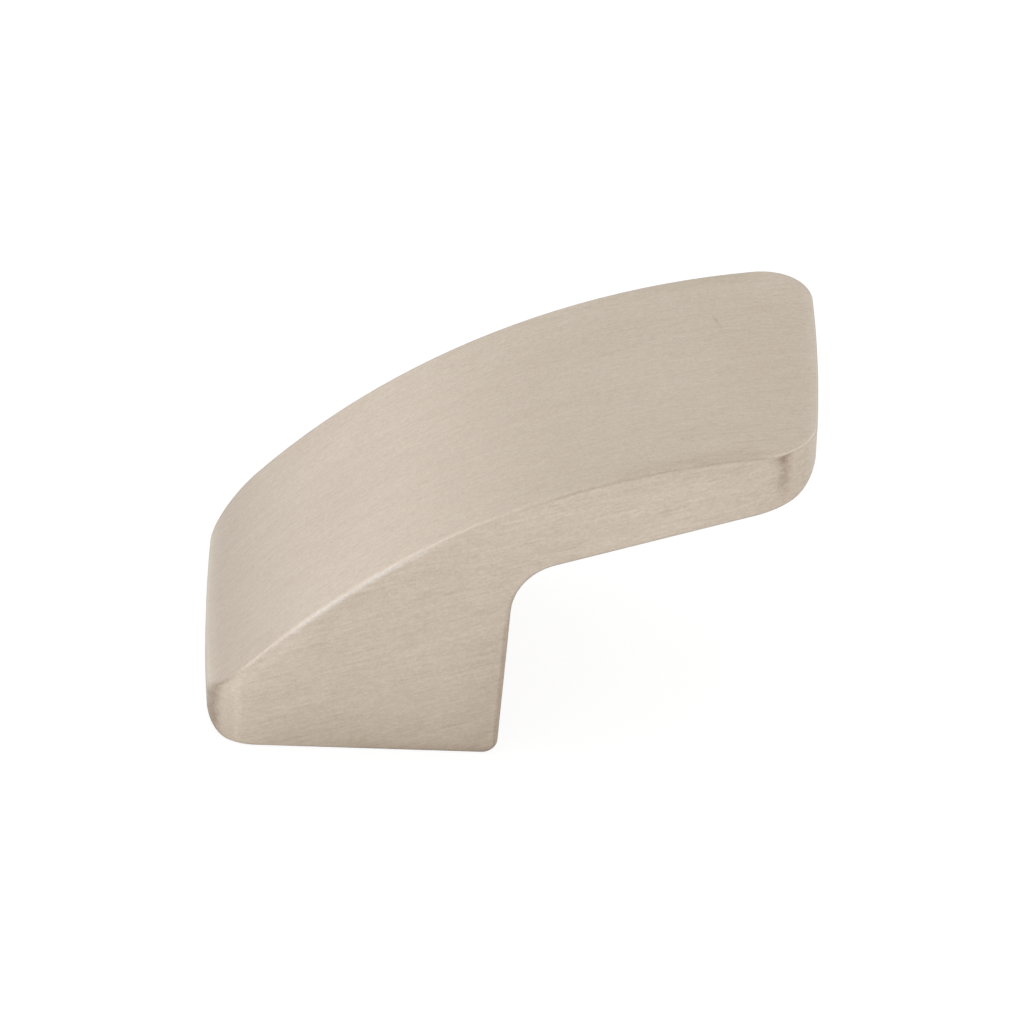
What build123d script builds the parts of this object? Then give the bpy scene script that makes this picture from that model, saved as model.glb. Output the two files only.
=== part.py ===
from build123d import *
from math import radians, tan
import os

# A cabinet knob cast in one piece: a stem that bears on the door, and a thumb rest that
# reaches out from it over the fingers. Millimetres and degrees. The origin is the mouth of
# the screw hole, Z stands straight out from the door, and X runs from the low end to the tip.

# Overall size, and the long curve of the top from the low end to the tip
knob_length = 38.0
knob_width = 21.7
tip_height = 23.5
low_end_height = 2.85
top_radius = 52.0

# Stem, from the base on the door up to the throat under the thumb rest
base_length = 18.6
stem_lean = 2.5
throat_radius = 4.0
heel_radius = 1.0
low_end_base_radius = 1.5

# Overhang
tip_thickness = 3.55
underside_slope = 18.9
nose_radius = 2.25

# Outline seen from above
end_bow = 0.35
low_corner_radius = 3.1
tip_corner_radius = 3.7

# Ground off both ends once their lower corners are rounded
end_grind = 0.04

# Softened edges: all round the top, and all round the sides below it
crease_radius = 0.3
lower_edge_radius = 0.25

# Blind hole in the middle of the base, drilled for an 8-32 thread
tap_drill_radius = 1.725
tap_drill_depth = 9.0
drill_point_angle = 118.0
hole_chamfer = 0.4

low_x = -base_length / 2
heel_x = base_length / 2
tip_x = low_x + knob_length
half_width = knob_width / 2
ceiling = tip_height + top_radius


def underside_z(x):
    """How far the sloping underside stands off the door at x."""
    return tip_height - tip_thickness - (tip_x - x) * tan(radians(underside_slope))


def throat_corner():
    """Where the leaning stem face and the underside would meet without the throat's curve."""
    lean = tan(radians(stem_lean))
    slope = tan(radians(underside_slope))
    z = underside_z(heel_x) / (1 - lean * slope)
    return heel_x + z * lean, z


def round_corner(sketch, corner, radius):
    """The sketch with the vertex that lies at the given corner rounded."""
    vertex = sketch.vertices().sort_by_distance((*corner, 0))[0]
    return fillet(vertex, radius)


def side_view(low_end, tip_end):
    """The knob from its side: a stepped outline, cut off above by the circle of the top."""
    low_top = (low_x, low_end_height)
    tip_top = (tip_x, tip_height)
    top_centre = RadiusArc(low_top, tip_top, top_radius).arc_center
    heel = (heel_x, 0)
    throat = throat_corner()
    nose = (tip_end, underside_z(tip_end))
    outline = Polyline(
        (low_end, ceiling), (low_end, 0), heel, throat, nose, (tip_end, ceiling), close=True
    )
    view = make_face(outline) & Pos(top_centre) * Circle(top_radius)
    view = round_corner(view, heel, heel_radius)
    return round_corner(view, throat, throat_radius)


def top_view(low_end, tip_end):
    """The knob from above: straight sides, and ends that bow outwards."""
    low_bow = ThreePointArc(
        (low_end + end_bow, -half_width), (low_end, 0), (low_end + end_bow, half_width)
    )
    tip_bow = ThreePointArc(
        (tip_end - end_bow, half_width), (tip_end, 0), (tip_end - end_bow, -half_width)
    )
    far_side = Line(low_bow @ 1, tip_bow @ 0)
    near_side = Line(tip_bow @ 1, low_bow @ 0)
    return make_face([low_bow, far_side, tip_bow, near_side])


def rough_casting():
    """The body a little too long, with square upright corners and both lower ends rounded."""
    low_end = low_x - end_grind
    tip_end = tip_x + end_grind
    body = extrude(Plane.XZ * side_view(low_end, tip_end), half_width, both=True)
    body = body & extrude(top_view(low_end, tip_end), ceiling)
    tip_face = body.faces().sort_by(Axis.X)[-1]
    body = fillet(tip_face.edges().group_by(Axis.Z)[0], nose_radius)
    low_face = body.faces().sort_by(Axis.X)[0]
    return fillet(low_face.edges().group_by(Axis.Z)[0], low_end_base_radius)


def trim_to_outline(body):
    """Both ends ground back to length, and the upright corners rounded."""
    outline = top_view(low_x, tip_x)
    outline = fillet(outline.vertices().group_by(Axis.X)[0], low_corner_radius)
    outline = fillet(outline.vertices().group_by(Axis.X)[-1], tip_corner_radius)
    return body & extrude(outline, ceiling)


def soften_edges(body):
    """A small round on the edge of the top, and on the edge below that runs round the sides."""
    top_face = body.faces().sort_by(SortBy.AREA)[-1]
    body = fillet(top_face.edges(), crease_radius)
    base_face = body.faces().sort_by(Axis.Z)[0]
    return fillet(base_face.edges().filter_by(Axis.X), lower_edge_radius)


def screw_hole():
    """The drilled hole with its pointed bottom and its chamfered mouth, turned about Z."""
    point = tap_drill_radius / tan(radians(drill_point_angle / 2))
    half_section = Polyline(
        (0, 0),
        (tap_drill_radius + hole_chamfer, 0),
        (tap_drill_radius, hole_chamfer),
        (tap_drill_radius, tap_drill_depth),
        (0, tap_drill_depth + point),
        close=True,
    )
    return revolve(Plane.XZ * make_face(half_section), Axis.Z)


knob_body = soften_edges(trim_to_outline(rough_casting())) - screw_hole()

os.makedirs("parts", exist_ok=True)
export_step(knob_body, "parts/knob_body.step")
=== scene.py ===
import bmesh
import bpy
import math
from mathutils import Matrix, Vector


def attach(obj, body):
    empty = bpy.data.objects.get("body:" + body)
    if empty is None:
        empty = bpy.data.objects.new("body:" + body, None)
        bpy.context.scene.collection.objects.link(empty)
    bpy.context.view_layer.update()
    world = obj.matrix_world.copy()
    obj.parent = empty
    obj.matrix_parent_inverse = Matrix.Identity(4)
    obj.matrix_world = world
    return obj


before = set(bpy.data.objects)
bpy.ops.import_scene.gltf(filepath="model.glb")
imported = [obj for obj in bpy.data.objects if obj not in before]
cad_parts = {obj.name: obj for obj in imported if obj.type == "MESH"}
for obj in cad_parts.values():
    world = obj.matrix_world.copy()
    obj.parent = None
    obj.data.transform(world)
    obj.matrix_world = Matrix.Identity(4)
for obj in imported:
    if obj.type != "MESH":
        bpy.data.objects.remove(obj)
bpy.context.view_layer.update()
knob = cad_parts["knob_body"]
mm = 0.001
print("frame loaded:", sorted(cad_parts))


photoView = {
    "aim": (9.871, -0.371, 11.451),  # mm, the point in the middle of the picture
    "azimuth": -1.876,               # degrees
    "elevation": 33.65,
    "roll": 2.875,
    "distance": 1000.0,              # mm
    "lens": 553.8,                   # mm, on the sensor below
    "sensor": 36.0,
    "clip": (0.05, 20.0),            # m
}


def toward(azimuth, elevation):
    # degrees; azimuth 0 is in front and 90 to the right
    azimuth, elevation = math.radians(azimuth), math.radians(elevation)
    return Vector((
        math.sin(azimuth) * math.cos(elevation),
        -math.cos(azimuth) * math.cos(elevation),
        math.sin(elevation),
    ))


def placeCamera(view):
    azimuth, roll = math.radians(view["azimuth"]), math.radians(view["roll"])
    back = toward(view["azimuth"], view["elevation"])
    levelRight = Vector((math.cos(azimuth), math.sin(azimuth), 0.0))
    levelUp = back.cross(levelRight)
    right = levelRight * math.cos(roll) + levelUp * math.sin(roll)
    up = levelUp * math.cos(roll) - levelRight * math.sin(roll)
    camera = bpy.data.objects.new("photoCamera", bpy.data.cameras.new("photoCamera"))
    camera.data.lens = view["lens"]
    camera.data.sensor_width = view["sensor"]
    camera.data.clip_start, camera.data.clip_end = view["clip"]
    place = Matrix((right, up, back)).transposed().to_4x4()
    place.translation = (Vector(view["aim"]) + back * view["distance"]) * mm
    camera.matrix_world = place
    bpy.context.scene.collection.objects.link(camera)
    bpy.context.scene.camera = camera


placeCamera(photoView)
print("camera placed")


def addNode(tree, kind, inputs=None, **settings):
    node = tree.nodes.new(kind)
    for name, value in settings.items():
        setattr(node, name, value)
    for name, value in (inputs or {}).items():
        if isinstance(value, bpy.types.NodeSocket):
            tree.links.new(value, node.inputs[name])
        else:
            node.inputs[name].default_value = value
    return node


def calc(tree, operation, *values):
    return addNode(tree, "ShaderNodeMath", dict(enumerate(values)), operation=operation).outputs[0]


def vectorCalc(tree, operation, *values):
    inputs = dict(enumerate(values))
    return addNode(tree, "ShaderNodeVectorMath", inputs, operation=operation).outputs[0]


def dotWith(tree, vector, direction):
    inputs = {0: vector, 1: direction}
    node = addNode(tree, "ShaderNodeVectorMath", inputs, operation="DOT_PRODUCT")
    return node.outputs["Value"]


def scaleVector(tree, vector, factor):
    inputs = {0: vector, "Scale": factor}
    return addNode(tree, "ShaderNodeVectorMath", inputs, operation="SCALE").outputs[0]


def splitPoint(tree, vector):
    return addNode(tree, "ShaderNodeSeparateXYZ", {0: vector}).outputs


def joinPoint(tree, x, y, z):
    return addNode(tree, "ShaderNodeCombineXYZ", {0: x, 1: y, 2: z}).outputs[0]


def ramp(tree, value, low, high, toLow=0.0, toHigh=1.0):
    node = addNode(
        tree, "ShaderNodeMapRange",
        {"Value": value, "From Min": low, "From Max": high, "To Min": toLow, "To Max": toHigh},
        interpolation_type="SMOOTHSTEP",
    )
    return node.outputs["Result"]


def blendValue(tree, amount, first, second):
    inputs = {0: amount, 2: first, 3: second}
    return addNode(tree, "ShaderNodeMix", inputs, data_type="FLOAT").outputs[0]


def blendColour(tree, amount, first, second):
    inputs = {0: amount, 6: first, 7: second}
    return addNode(tree, "ShaderNodeMix", inputs, data_type="RGBA").outputs[2]


def bell(tree, value, middle, reach):
    # 1 at the middle, 0 from reach on
    away = calc(tree, "ABSOLUTE", calc(tree, "SUBTRACT", value, middle))
    return ramp(tree, away, 0.0, reach, 1.0, 0.0)


def lengthOf(tree, first, second):
    squares = (calc(tree, "MULTIPLY", side, side) for side in (first, second))
    return calc(tree, "SQRT", calc(tree, "ADD", *squares))


def addUp(tree, values):
    total = values[0]
    for value in values[1:]:
        total = calc(tree, "ADD", total, value)
    return total


def noise(tree, vector, detail=2.0, roughness=0.6):
    node = addNode(
        tree, "ShaderNodeTexNoise",
        {"Vector": vector, "Scale": 1.0, "Detail": detail, "Roughness": roughness},
    )
    return node.outputs[0]


def aroundZero(tree, value, gain):
    # noise comes out round 0.5
    return calc(tree, "MULTIPLY", calc(tree, "SUBTRACT", value, 0.5), gain)


# the pale room and its floor
studio = {
    "fill": 1.06,                     # what the room gives the floor
    "white": 1.0,                     # the backdrop, seen straight on
    "whiteInMetal": 0.905,            # the room, seen in the metal
    "floorSeen": (0.15, 0.885),       # colour and glow of the floor, seen straight on
    "floorInMetal": (0.935, 0.0),     # the same, seen in the metal
    "fadeToward": (-0.5, 0.87, 0.0),  # the floor's light falls off this way
    "fadeReach": (-2.0, 32.0),        # mm
    "fadeLeft": 0.76,
    "floorDrop": 0.02,                # mm under the base
    "floorSize": 6.0,                 # m
    # mm, half of the opening hidden under the base, which lets light reach the base from below
    "floorOpening": [(-7.7, -10.2), (-7.1, -10.45), (-6.2, -10.6), (8.3, -10.6)],
}

softbox = {
    "azimuth": 263.0,                 # degrees
    "elevation": 0.0,
    "spread": (43.0, 63.0),           # degrees from its middle, where it is full and where gone
    "flatness": 1.18,                 # how much lower than wide
    "extra": 0.42,                    # over the room
    "colour": (0.96, 0.98, 1.06, 1.0),
}


def seenInMetal(tree, path):
    return calc(tree, "MAXIMUM", path.outputs["Is Glossy Ray"], path.outputs["Is Transmission Ray"])


def softboxMask(tree):
    look = addNode(tree, "ShaderNodeTexCoord").outputs["Generated"]
    flat = vectorCalc(tree, "MULTIPLY", look, (1.0, 1.0, softbox["flatness"]))
    middle = toward(softbox["azimuth"], softbox["elevation"])
    near, far = (math.cos(math.radians(angle)) for angle in softbox["spread"])
    return ramp(tree, dotWith(tree, vectorCalc(tree, "NORMALIZE", flat), middle), far, near)


def buildWorld():
    world = bpy.data.worlds.new("paleRoom")
    world.use_nodes = True
    tree = world.node_tree
    tree.nodes.clear()
    path = addNode(tree, "ShaderNodeLightPath")
    seen = path.outputs["Is Camera Ray"]
    mirrored = seenInMetal(tree, path)
    strength = blendValue(tree, mirrored, studio["fill"], studio["whiteInMetal"])
    strength = blendValue(tree, seen, strength, studio["white"])
    room = addNode(tree, "ShaderNodeBackground", {"Color": (1, 1, 1, 1), "Strength": strength})
    unseen = blendValue(tree, seen, softbox["extra"], 0.0)
    extra = calc(tree, "MULTIPLY", softboxMask(tree), unseen)
    box = addNode(tree, "ShaderNodeBackground", {"Color": softbox["colour"], "Strength": extra})
    both = addNode(tree, "ShaderNodeAddShader", {0: room.outputs[0], 1: box.outputs[0]})
    output = addNode(tree, "ShaderNodeOutputWorld")
    tree.links.new(both.outputs[0], output.inputs["Surface"])
    bpy.context.scene.world = world


def floorFade(tree):
    place = addNode(tree, "ShaderNodeTexCoord").outputs["Object"]
    near, far = (r * mm for r in studio["fadeReach"])
    along = dotWith(tree, place, studio["fadeToward"])
    return ramp(tree, along, near, far, 1.0, studio["fadeLeft"])


def buildFloorFinish():
    material = bpy.data.materials.new("paleFloor")
    material.use_nodes = True
    tree = material.node_tree
    tree.nodes.clear()
    path = addNode(tree, "ShaderNodeLightPath")
    mirrored = seenInMetal(tree, path)
    seen = path.outputs["Is Camera Ray"]
    matt, glow = (
        blendValue(tree, seen, inMetal, straightOn)
        for inMetal, straightOn in zip(studio["floorInMetal"], studio["floorSeen"])
    )
    glow = calc(tree, "MULTIPLY", glow, calc(tree, "MAXIMUM", seen, mirrored))
    matt = calc(tree, "MULTIPLY", matt, blendValue(tree, seen, floorFade(tree), 1.0))
    tint = addNode(tree, "ShaderNodeCombineColor", {0: matt, 1: matt, 2: matt})
    matt = addNode(tree, "ShaderNodeBsdfDiffuse", {"Color": tint.outputs[0]})
    glow = addNode(tree, "ShaderNodeEmission", {"Color": (1, 1, 1, 1), "Strength": glow})
    top = addNode(tree, "ShaderNodeAddShader", {0: matt.outputs[0], 1: glow.outputs[0]})
    below = addNode(tree, "ShaderNodeBsdfTransparent")
    side = addNode(tree, "ShaderNodeNewGeometry").outputs["Backfacing"]
    both = addNode(tree, "ShaderNodeMixShader", {0: side, 1: top.outputs[0], 2: below.outputs[0]})
    output = addNode(tree, "ShaderNodeOutputMaterial")
    tree.links.new(both.outputs[0], output.inputs["Surface"])
    return material


def buildFloor():
    half = studio["floorSize"] / 2
    height = -studio["floorDrop"] * mm
    nearSide = studio["floorOpening"]
    farSide = [(x, -y) for x, y in reversed(nearSide)]
    opening = [Vector(spot) * mm for spot in nearSide + farSide]
    rim = [spot * half / max(abs(spot.x), abs(spot.y)) for spot in opening]
    corners = [(spot.x, spot.y, height) for spot in opening + rim]
    count = len(opening)
    quads = [(i, i + count, (i + 1) % count + count, (i + 1) % count) for i in range(count)]
    mesh = bpy.data.meshes.new("paleFloor")
    mesh.from_pydata(corners, [], quads)
    mesh.materials.append(buildFloorFinish())
    floor = bpy.data.objects.new("paleFloor", mesh)
    bpy.context.scene.collection.objects.link(floor)


buildWorld()
buildFloor()
print("studio built")


def newGroup(name, inputs, outputs):
    group = bpy.data.node_groups.new(name, "ShaderNodeTree")
    for label, kind, value in inputs:
        socket = group.interface.new_socket(label, in_out="INPUT", socket_type=kind)
        if value is not None:
            socket.default_value = value
    for label, kind in outputs:
        group.interface.new_socket(label, in_out="OUTPUT", socket_type=kind)
    given = group.nodes.new("NodeGroupInput").outputs
    made = group.nodes.new("NodeGroupOutput").inputs
    return group, given, made


def placeGroup(tree, group, inputs):
    return addNode(tree, "ShaderNodeGroup", inputs, node_tree=group).outputs


# what every brushed surface is mixed from; sizes are against the group's Length and Width
strokeMix = {
    "shortness": 4.0,                 # short strokes against the long ones
    "shortShare": 0.5,
    "broadness": 0.31,                # scale of the broad ones
    "broadShare": 0.16,
    "scratchScale": 0.5,
    "scratchShift": (31.0, 17.0, 5.0),
    "scratchRange": (0.66, 0.78),     # only the noise's highest spots make a scratch
    "scratchShade": 0.25,
    "scratchDepth": 0.3,
}


def buildStrokes():
    # Point is (along the strokes, across, across) in mm; Shade and Height sit round 0.5
    number = "NodeSocketFloat"
    group, given, made = newGroup(
        "brushStrokes",
        [
            ("Point", "NodeSocketVector", None),
            ("Length", number, 3.0),
            ("Width", number, 0.12),
            ("Scratches", number, 0.5),
        ],
        [("Shade", number), ("Height", number)],
    )
    mix = strokeMix
    long = calc(group, "DIVIDE", 1.0, given["Length"])
    wide = calc(group, "DIVIDE", 1.0, given["Width"])
    fine = vectorCalc(group, "MULTIPLY", given["Point"], joinPoint(group, long, wide, wide))
    shorter = vectorCalc(group, "MULTIPLY", fine, (mix["shortness"], 1.0, 1.0))
    rare = vectorCalc(group, "MULTIPLY", fine, [mix["scratchScale"]] * 3)
    rare = vectorCalc(group, "ADD", rare, mix["scratchShift"])
    broad = noise(group, scaleVector(group, fine, mix["broadness"]), 1.0, 0.5)
    both = blendValue(group, mix["shortShare"], noise(group, fine), noise(group, shorter, 1.0, 0.5))
    shade = blendValue(group, mix["broadShare"], both, broad)
    scratch = ramp(group, noise(group, rare, 1.0, 0.5), *mix["scratchRange"])
    scratch = calc(group, "MULTIPLY", scratch, given["Scratches"])
    darker = calc(group, "MULTIPLY", scratch, mix["scratchShade"])
    deeper = calc(group, "MULTIPLY", scratch, mix["scratchDepth"])
    group.links.new(calc(group, "SUBTRACT", shade, darker), made["Shade"])
    group.links.new(calc(group, "SUBTRACT", both, deeper), made["Height"])
    return group


brushStrokes = buildStrokes()


# the brushed nickel of the whole knob; lengths in mm
nickel = {
    "colour": (0.605, 0.523, 0.432, 1.0),
    "paintedHighlight": (0.755, 0.694, 0.638, 1.0),    # painted highlight colour along the crease
    "toneTint": (0.85, 1.0, 1.08),             # what is darker is also redder
    "roughness": 0.34,
    "roughnessShare": 0.25,                    # how much the strokes change it
    # the painted highlight is also a little smoother
    "highlightSmoother": 0.04,
    "edgeTint": 0.84,                          # what the metal gives back at a grazing look
    "strokes": {
        "top": {"Length": 1.6, "Width": 0.18, "Scratches": 0.3},
        "side": {"Length": 1.9, "Width": 0.13, "Scratches": 0.7},
        "end": {"Length": 1.0, "Width": 0.12, "Scratches": 0.7},
        "base": {"Length": 2.5, "Width": 0.12, "Scratches": 0.5},
    },
    # how far the strokes lighten and darken, and how much they stand out
    "strokeShades": {"top": 0.45, "side": 0.50, "end": 0.52, "base": 0.40},
    "strokeHeights": {"top": 0.7, "side": 1.0, "end": 1.0, "base": 1.0},
    "strokeDepth": 0.006,
    "strokeSlope": 18.9,                       # degrees, the sides' strokes follow the underside
    "topFrom": (0.25, 0.55),                   # upward part of the normal, from side to top
    "endFrom": (0.34, 0.72),                   # lengthways part, from side to end
    "baseUnder": 0.01,                         # below this height it is the base
    "grainSize": 0.14,                         # the fine speckle over all of it
    "grainShade": 0.23,
    "mottleSize": 4.0,                         # slow change from place to place
    "mottleShade": 0.03,
    "boreReach": 1.85,                         # from the hole's axis
    "boreTop": 10.5,
    "boreColour": (0.47, 0.46, 0.45, 1.0),
}

# the knob's outline, to know how far a point lies from the edges; mm
outline = {
    "topCentre": (32.28, -28.376),             # x and z of the top curve's centre
    "topRadius": 52.0,
    "middle": 9.7,
    "halfLength": 19.0,
    "halfWidth": 10.85,
    "corner": 3.4,
    "bow": 0.35,                               # how far the ends stand out in their middle
    "heel": 9.3,                               # where the stem's back edge meets the door
    "stemLean": 2.5,                           # degrees
    "outerRim": (0.4, 0.15),                   # depth at which the painted light and shade bands begin and are full
}

# Painted light and shade: lighter and darker bands that follow the edges. A band is strongest at
# its middle and gone at its reach, and each limit turns it on from its first value to its second.
# The measures are in
# mm: edge, which is 0 on the crease, more than 0 on the top and less below it; fromLow and
# fromTip, in from the ends; side, out from the middle; fromHeel, in from the stem's back edge;
# x, y and z. Turn goes from -1 to 1 as the surface turns from the low end to the tip.
paintedLightBands = [
    # painted highlight along the rims of both ends
    {"across": "fromLow", "middle": 0.0, "reach": 1.0, "gain": 0.14,
     "limits": [("side", 10.4, 8.6), ("edge", -0.6, -0.3)]},
    {"across": "fromLow", "middle": 0.0, "reach": 0.30, "gain": 0.16,
     "limits": [("side", 10.4, 8.6), ("edge", -0.6, -0.3)]},
    {"across": "fromTip", "middle": 0.0, "reach": 0.9, "gain": 0.08,
     "limits": [("edge", -0.35, -0.15)]},
    # painted shade along the crease on the thumb rest and near the low end, and painted highlight
    # round its corners
    {"across": "edge", "middle": -0.08, "reach": 0.17, "gain": -0.10,
     "limits": [("x", 9.5, 13.0), ("x", 26.0, 25.0)]},
    {"across": "edge", "middle": -0.12, "reach": 0.30, "gain": -0.06,
     "limits": [("x", -3.0, -6.0)]},
    {"across": "edge", "middle": 0.0, "reach": 0.14, "gain": 0.20,
     "limits": [("x", 25.2, 26.4)]},
    # painted shade beside the crease, above it and below it, and painted light below it at the low
    # end
    {"across": "edge", "middle": 0.5, "reach": 1.3, "gain": -0.07,
     "limits": [("x", 12.0, 19.5), ("x", 26.0, 24.0)]},
    {"across": "edge", "middle": -0.8, "reach": 1.0, "gain": -0.05,
     "limits": [("x", 11.5, 16.0), ("x", 25.0, 23.0)]},
    {"across": "edge", "middle": -0.7, "reach": 0.8, "gain": 0.06,
     "limits": [("x", -1.5, -4.0), ("turn", -0.7, -0.5)]},
    # painted reflections on the upright corners, dark bands and light strips, first those of the
    # tip
    {"across": "turn", "middle": 0.44, "reach": 0.17, "gain": -0.23,
     "limits": [("edge", -0.08, -0.24), ("edge", -3.8, -1.8)]},
    {"across": "turn", "middle": 0.36, "reach": 0.26, "gain": -0.22,
     "limits": [("edge", -0.08, -0.24), ("edge", -0.9, -0.4)]},
    {"across": "turn", "middle": 1.0, "reach": 0.24, "gain": 0.12,
     "limits": [("edge", -0.2, -0.4)]},
    {"across": "turn", "middle": -0.88, "reach": 0.25, "gain": -0.34,
     "limits": [("edge", -0.05, -0.35), ("side", 6.0, 8.5)]},
    {"across": "turn", "middle": -0.36, "reach": 0.15, "gain": 0.07,
     "limits": [("edge", -0.2, -0.8)]},
    # painted shade and light on the top: darker in the middle low down, lighter towards the tip,
    # and on its far side lighter towards the tip and darker low down
    {"across": "x", "middle": -1.5, "reach": 5.5, "gain": -0.035,
     "limits": [("edge", 2.5, 7.5)]},
    {"across": "x", "middle": 19.0, "reach": 10.0, "gain": 0.03,
     "limits": [("edge", 3.0, 8.0)]},
    {"across": "y", "middle": 10.85, "reach": 5.5, "gain": 0.05,
     "limits": [("x", 6.0, 15.0), ("edge", 0.0, 0.4)]},
    {"across": "y", "middle": 10.85, "reach": 5.5, "gain": -0.05,
     "limits": [("x", 2.0, -1.5), ("x", -6.0, -4.0), ("edge", 0.0, 0.4)]},
    # painted shade on the upper part of the sides, painted shadow along the foot, and painted light
    # on the foot at the low end
    {"across": "z", "middle": 14.0, "reach": 9.0, "gain": -0.04,
     "limits": [("edge", -0.1, -0.5)]},
    {"across": "z", "middle": 0.0, "reach": 1.0, "gain": -0.18,
     "limits": [("x", -9.0, 7.0)]},
    {"across": "z", "middle": 0.0, "reach": 1.0, "gain": 0.08,
     "limits": [("x", 2.0, -4.0), ("turn", -0.5, -0.2)]},
    # painted shade on the stem, darker towards the edge that faces the fingers
    {"across": "fromHeel", "middle": 0.0, "reach": 4.2, "gain": -0.10,
     "limits": [("z", 15.0, 5.0)]},
    {"across": "fromHeel", "middle": 0.22, "reach": 0.20, "gain": -0.16,
     "limits": [("z", 12.0, 9.5)]},
]

# a painted highlight: the bright line along the low half of the crease, laid over the colour
crest = {
    "across": "edge", "middle": -0.12, "reach": 0.30, "gain": 0.75,
    "limits": [("x", -6.5, -2.0), ("x", 7.5, 0.5)],
}

# painted shade: the sides get darker towards the tip
tipShade = {
    "alongX": (20.0, 26.5),
    "turn": (0.05, 0.3),
    "gains": (-0.06, -0.03),
}

# noise that frays the painted light and shade bands on the corners
ragged = {
    "scales": (0.8, 0.8, 2.6),
    "detail": 3.0,
    "roughness": 0.7,
    "shift": 0.3,
}

# short marks on the top: from, to, how wide and how dark; mm
marks = [
    ((22.12, 6.25), (22.62, 4.70), 0.15, 0.17),
    ((27.40, -8.24), (28.15, -8.27), 0.07, 0.16),
    ((27.40, -8.73), (27.62, -8.74), 0.08, 0.22),
    ((27.84, -8.72), (28.05, -8.80), 0.08, 0.14),
    ((26.95, -5.73), (27.48, -5.77), 0.06, 0.08),
    ((26.92, -7.66), (27.46, -7.76), 0.06, 0.09),
]
markFade = 1.3  # how far a mark fades out past its ends, against its length


def topPoint(tree, point):
    # along the curve, across the knob, out from the curve's centre
    x, y, z = splitPoint(tree, point)
    centreX, centreZ = outline["topCentre"]
    fromX, fromZ = calc(tree, "SUBTRACT", x, centreX), calc(tree, "SUBTRACT", z, centreZ)
    radius = lengthOf(tree, fromX, fromZ)
    angle = calc(tree, "ARCTAN2", fromZ, fromX)
    return joinPoint(tree, calc(tree, "MULTIPLY", angle, outline["topRadius"]), y, radius), radius


def sidePoint(tree, point):
    slope = math.radians(nickel["strokeSlope"])
    along = dotWith(tree, point, (math.cos(slope), 0.0, math.sin(slope)))
    across = dotWith(tree, point, (-math.sin(slope), 0.0, math.cos(slope)))
    return joinPoint(tree, along, splitPoint(tree, point)[1], across)


def endPoint(tree, point):
    # level strokes that run round the corners, and come in sloping at the low end
    x, y, z = splitPoint(tree, point)
    squeeze = nickel["strokes"]["end"]["Width"] / nickel["strokes"]["end"]["Length"]
    slope = math.tan(math.radians(nickel["strokeSlope"]))
    climb = calc(tree, "SUBTRACT", outline["halfWidth"], calc(tree, "ABSOLUTE", y))
    climb = calc(tree, "MULTIPLY", calc(tree, "MINIMUM", climb, outline["corner"]), slope)
    climb = calc(tree, "MULTIPLY", climb, calc(tree, "LESS_THAN", x, 0.0))
    return joinPoint(tree, x, calc(tree, "MULTIPLY", y, squeeze), calc(tree, "ADD", z, climb))


def measurePlan(tree, x, y):
    # out from the middle line, in from both bowed ends, and in from the whole outline
    corner = outline["corner"]
    sideways = calc(tree, "ABSOLUTE", y)
    share = calc(tree, "DIVIDE", sideways, outline["halfWidth"])
    bow = calc(tree, "MULTIPLY", calc(tree, "MULTIPLY", share, share), outline["bow"])
    fromMiddle = calc(tree, "SUBTRACT", x, outline["middle"])
    reach = calc(tree, "SUBTRACT", outline["halfLength"], bow)
    fromLow = calc(tree, "ADD", reach, fromMiddle)
    fromTip = calc(tree, "SUBTRACT", reach, fromMiddle)
    overX = calc(tree, "SUBTRACT", corner, calc(tree, "MINIMUM", fromLow, fromTip))
    overY = calc(tree, "SUBTRACT", sideways, outline["halfWidth"] - corner)
    outX, outY = (calc(tree, "MAXIMUM", over, 0.0) for over in (overX, overY))
    outside = lengthOf(tree, outX, outY)
    inside = calc(tree, "MINIMUM", calc(tree, "MAXIMUM", overX, overY), 0.0)
    inset = calc(tree, "SUBTRACT", calc(tree, "SUBTRACT", corner, outside), inside)
    return sideways, fromLow, fromTip, inset


# one band of painted light or shade
def paintedLightMask(tree, places, band):
    mask = bell(tree, places[band["across"]], band["middle"], band["reach"])
    for measure, off, on in band["limits"]:
        mask = calc(tree, "MULTIPLY", mask, ramp(tree, places[measure], off, on))
    return calc(tree, "MULTIPLY", mask, band["gain"])


def markMask(tree, point, start, end, width):
    along = (Vector(end) - Vector(start)).to_3d()
    half = along.length / 2
    along.normalize()
    middle = (Vector(start) + Vector(end)).to_3d() / 2
    normal = Vector((-along.y, along.x, 0.0))
    lengthways = calc(tree, "SUBTRACT", dotWith(tree, point, along), middle.dot(along))
    sideways = calc(tree, "SUBTRACT", dotWith(tree, point, normal), middle.dot(normal))
    across = bell(tree, sideways, 0.0, width)
    return calc(tree, "MULTIPLY", across, bell(tree, lengthways, 0.0, half * markFade))


def measurePlaces(tree, point, normal, radius):
    # every measure that the painted light and shade bands name, and where they show: not in the
    # throat or underneath
    x, y, z = splitPoint(tree, point)
    frayed = vectorCalc(tree, "MULTIPLY", point, ragged["scales"])
    frayed = noise(tree, frayed, ragged["detail"], ragged["roughness"])
    depth = calc(tree, "SUBTRACT", outline["topRadius"], radius)
    sideways, fromLow, fromTip, inset = measurePlan(tree, x, y)
    lean = math.tan(math.radians(outline["stemLean"]))
    heel = calc(tree, "MULTIPLY_ADD", z, lean, outline["heel"])
    places = {
        "x": x,
        "y": y,
        "z": z,
        "side": sideways,
        "fromLow": fromLow,
        "fromTip": fromTip,
        "fromHeel": calc(tree, "SUBTRACT", heel, x),
        "edge": calc(tree, "SUBTRACT", inset, depth),
        "turn": calc(tree, "ADD", normal[0], aroundZero(tree, frayed, ragged["shift"])),
    }
    return places, ramp(tree, calc(tree, "MINIMUM", inset, depth), *outline["outerRim"])


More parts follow.
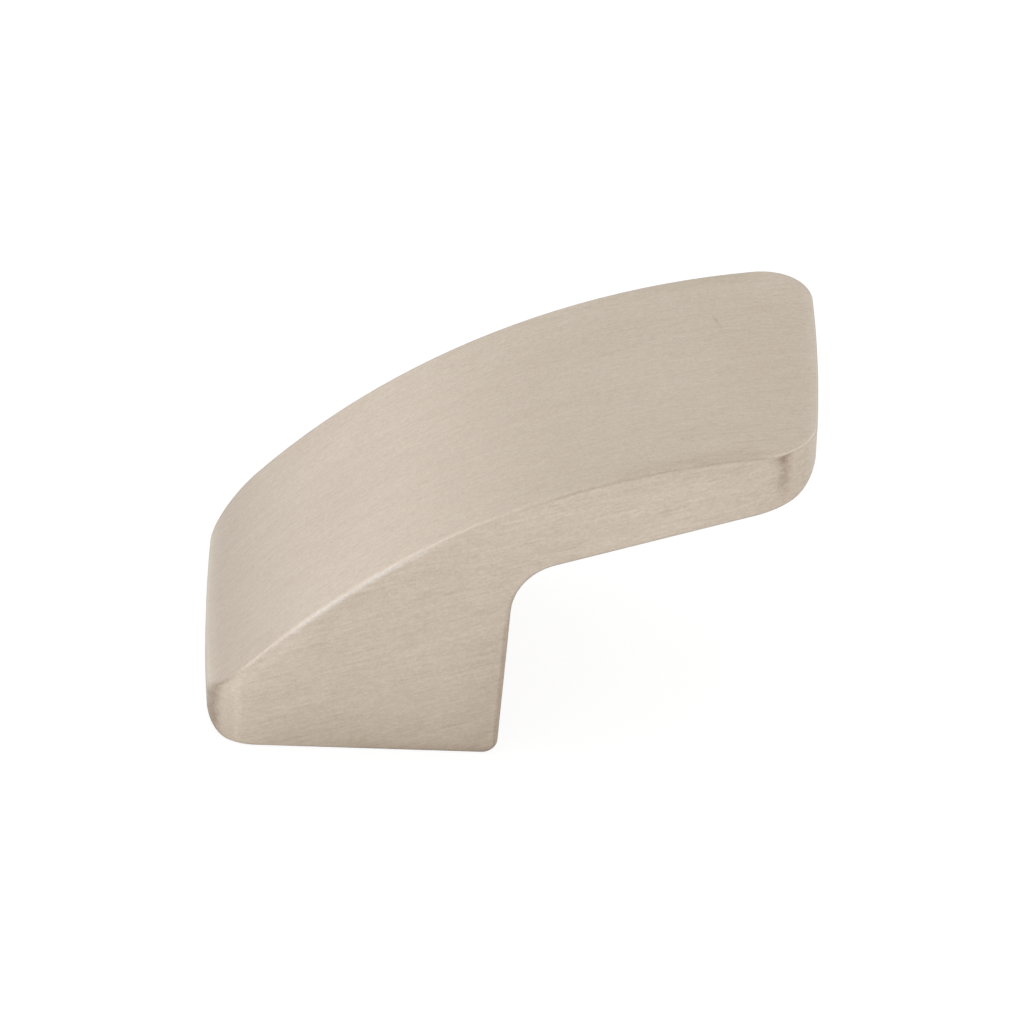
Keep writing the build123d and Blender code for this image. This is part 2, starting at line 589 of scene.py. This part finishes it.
def buildNickel():
    material = bpy.data.materials.new("brushedNickel")
    material.use_nodes = True
    tree = material.node_tree
    shader = tree.nodes["Principled BSDF"]
    coords = addNode(tree, "ShaderNodeTexCoord")
    point = scaleVector(tree, coords.outputs["Object"], 1 / mm)
    x, y, z = splitPoint(tree, point)
    normal = splitPoint(tree, coords.outputs["Normal"])
    isTop = ramp(tree, normal[2], *nickel["topFrom"])
    isEnd = ramp(tree, calc(tree, "ABSOLUTE", normal[0]), *nickel["endFrom"])
    isBase = calc(tree, "LESS_THAN", z, nickel["baseUnder"])

    onCurve, radius = topPoint(tree, point)
    spots = {
        "top": onCurve,
        "side": sidePoint(tree, point),
        "end": endPoint(tree, point),
        "base": point,
    }
    strokes = {
        part: placeGroup(tree, brushStrokes, {"Point": spot, **nickel["strokes"][part]})
        for part, spot in spots.items()
    }

    def weigh(socket, gains):
        of = {part: aroundZero(tree, strokes[part][socket], gains[part]) for part in strokes}
        around = blendValue(tree, isEnd, of["side"], of["end"])
        above = blendValue(tree, isTop, around, of["top"])
        return blendValue(tree, isBase, above, of["base"])

    shade = weigh("Shade", nickel["strokeShades"])
    height = weigh("Height", nickel["strokeHeights"])
    grain = noise(tree, scaleVector(tree, point, 1 / nickel["grainSize"]), 1.0, 0.5)
    mottle = noise(tree, scaleVector(tree, point, 1 / nickel["mottleSize"]), 2.0, 0.5)

    places, isOuter = measurePlaces(tree, point, normal, radius)
    # painted light and shade in bands along the edges
    paintedLightSum = addUp(tree, [paintedLightMask(tree, places, band) for band in paintedLightBands])
    # painted shade on the sides towards the tip
    alongGain, turnGain = tipShade["gains"]
    paintedTipShade = calc(
        tree, "ADD",
        calc(tree, "MULTIPLY", ramp(tree, x, *tipShade["alongX"]), alongGain),
        calc(tree, "MULTIPLY", ramp(tree, normal[0], *tipShade["turn"]), turnGain),
    )
    scuffs = [calc(tree, "MULTIPLY", markMask(tree, point, *mark[:3]), mark[3]) for mark in marks]
    scuff = calc(tree, "MULTIPLY", addUp(tree, scuffs), isTop)
    tone = addUp(tree, [
        calc(tree, "ADD", 1.0, shade),
        aroundZero(tree, grain, nickel["grainShade"]),
        aroundZero(tree, mottle, nickel["mottleShade"]),
        calc(tree, "MULTIPLY", paintedTipShade, calc(tree, "SUBTRACT", 1.0, isTop)),
        calc(tree, "MULTIPLY", paintedLightSum, isOuter),
    ])
    tone = calc(tree, "SUBTRACT", tone, scuff)
    tint = joinPoint(tree, *[calc(tree, "POWER", tone, power) for power in nickel["toneTint"]])

    # painted highlight along the low half of the crease
    isPaintedHighlight = calc(tree, "MULTIPLY", paintedLightMask(tree, places, crest), isOuter)
    nearAxis = calc(tree, "LESS_THAN", lengthOf(tree, x, y), nickel["boreReach"])
    inBore = calc(tree, "MULTIPLY", nearAxis, calc(tree, "LESS_THAN", z, nickel["boreTop"]))
    colour = blendColour(tree, isPaintedHighlight, nickel["colour"], nickel["paintedHighlight"])
    colour = vectorCalc(tree, "MULTIPLY", colour, tint)
    colour = blendColour(tree, inBore, colour, nickel["boreColour"])
    smoother = calc(tree, "MULTIPLY", shade, nickel["roughnessShare"])
    roughness = calc(tree, "SUBTRACT", nickel["roughness"], smoother)
    smoother = calc(tree, "MULTIPLY", isPaintedHighlight, nickel["highlightSmoother"])
    roughness = calc(tree, "SUBTRACT", roughness, smoother)
    bump = addNode(tree, "ShaderNodeBump", {
        "Height": calc(tree, "SUBTRACT", height, scuff),
        "Distance": nickel["strokeDepth"] * mm,
        "Strength": 1.0,
    })
    shader.inputs["Metallic"].default_value = 1.0
    shader.inputs["Specular Tint"].default_value = (*[nickel["edgeTint"]] * 3, 1.0)
    tree.links.new(colour, shader.inputs["Base Color"])
    tree.links.new(roughness, shader.inputs["Roughness"])
    tree.links.new(bump.outputs[0], shader.inputs["Normal"])
    return material


knob.data.materials.clear()
knob.data.materials.append(buildNickel())
print("brushed nickel built")


# the tapped thread inside the hole; lengths in mm
thread = {
    "pitch": 0.794,                   # 32 turns to the inch
    "start": 0.45,                    # in from the door
    "end": 8.55,
    "rootRadius": 1.74,               # just inside the drilled wall
    "crestRadius": 1.54,
    "rootWidth": 0.52,
    "crestWidth": 0.16,
    "stepsPerTurn": 48,
    "runOut": 0.5,                    # turns over which each end fades into the wall
    "leastHeight": 0.02,              # what is left of the ridge at its ends
    "sharpFrom": 25.0,                # degrees between faces
    "colour": (0.50, 0.49, 0.47),
    "roughness": 0.3,
    "cutMarks": {"Length": 1.5, "Width": 0.05, "Scratches": 0.8},
    "cutShade": 0.3,
    "cutDepth": 0.004,
}


def buildThreadFinish():
    material = bpy.data.materials.new("tappedMetal")
    material.use_nodes = True
    tree = material.node_tree
    shader = tree.nodes["Principled BSDF"]
    point = scaleVector(tree, addNode(tree, "ShaderNodeTexCoord").outputs["Object"], 1 / mm)
    x, y, z = splitPoint(tree, point)
    around = calc(tree, "MULTIPLY", calc(tree, "ARCTAN2", y, x), thread["rootRadius"])
    unrolled = joinPoint(tree, around, lengthOf(tree, x, y), z)
    cut = placeGroup(tree, brushStrokes, {"Point": unrolled, **thread["cutMarks"]})
    shade = aroundZero(tree, cut["Shade"], thread["cutShade"])
    colour = scaleVector(tree, thread["colour"], calc(tree, "ADD", 1.0, shade))
    roughness = calc(tree, "SUBTRACT", thread["roughness"], shade)
    bump = addNode(tree, "ShaderNodeBump", {
        "Height": cut["Height"],
        "Distance": thread["cutDepth"] * mm,
        "Strength": 1.0,
    })
    shader.inputs["Metallic"].default_value = 1.0
    tree.links.new(colour, shader.inputs["Base Color"])
    tree.links.new(roughness, shader.inputs["Roughness"])
    tree.links.new(bump.outputs[0], shader.inputs["Normal"])
    return material


def threadRing(mesh, turn, turns):
    # the ridge's section: two corners at its root, and two at its crest
    root = thread["rootRadius"]
    grown = max(min(1.0, min(turn, turns - turn) / thread["runOut"]), thread["leastHeight"])
    crestRadius = root + (thread["crestRadius"] - root) * grown
    middle = thread["start"] + turn * thread["pitch"]
    angle = turn * math.tau
    ring = []
    for radius, width in (
        (root, -thread["rootWidth"]), (crestRadius, -thread["crestWidth"]),
        (crestRadius, thread["crestWidth"]), (root, thread["rootWidth"]),
    ):
        spot = Vector((radius * math.cos(angle), radius * math.sin(angle), middle + width / 2))
        ring.append(mesh.verts.new(spot * mm))
    return ring


def buildThread():
    turns = (thread["end"] - thread["start"]) / thread["pitch"]
    steps = round(turns * thread["stepsPerTurn"])
    mesh = bmesh.new()
    rings = [threadRing(mesh, turns * i / steps, turns) for i in range(steps + 1)]
    for first, second in zip(rings, rings[1:]):
        for k in range(4):
            after = (k + 1) % 4
            mesh.faces.new((first[k], first[after], second[after], second[k]))
    mesh.faces.new(rings[0][::-1])
    mesh.faces.new(rings[-1])
    bmesh.ops.recalc_face_normals(mesh, faces=mesh.faces)
    data = bpy.data.meshes.new("tappedThread")
    mesh.to_mesh(data)
    mesh.free()
    data.shade_smooth()
    data.set_sharp_from_angle(angle=math.radians(thread["sharpFrom"]))
    data.materials.append(buildThreadFinish())
    piece = bpy.data.objects.new("tappedThread", data)
    bpy.context.scene.collection.objects.link(piece)
    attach(piece, "root")


buildThread()
print("thread built")

bpy.context.scene.view_settings.view_transform = "Standard"
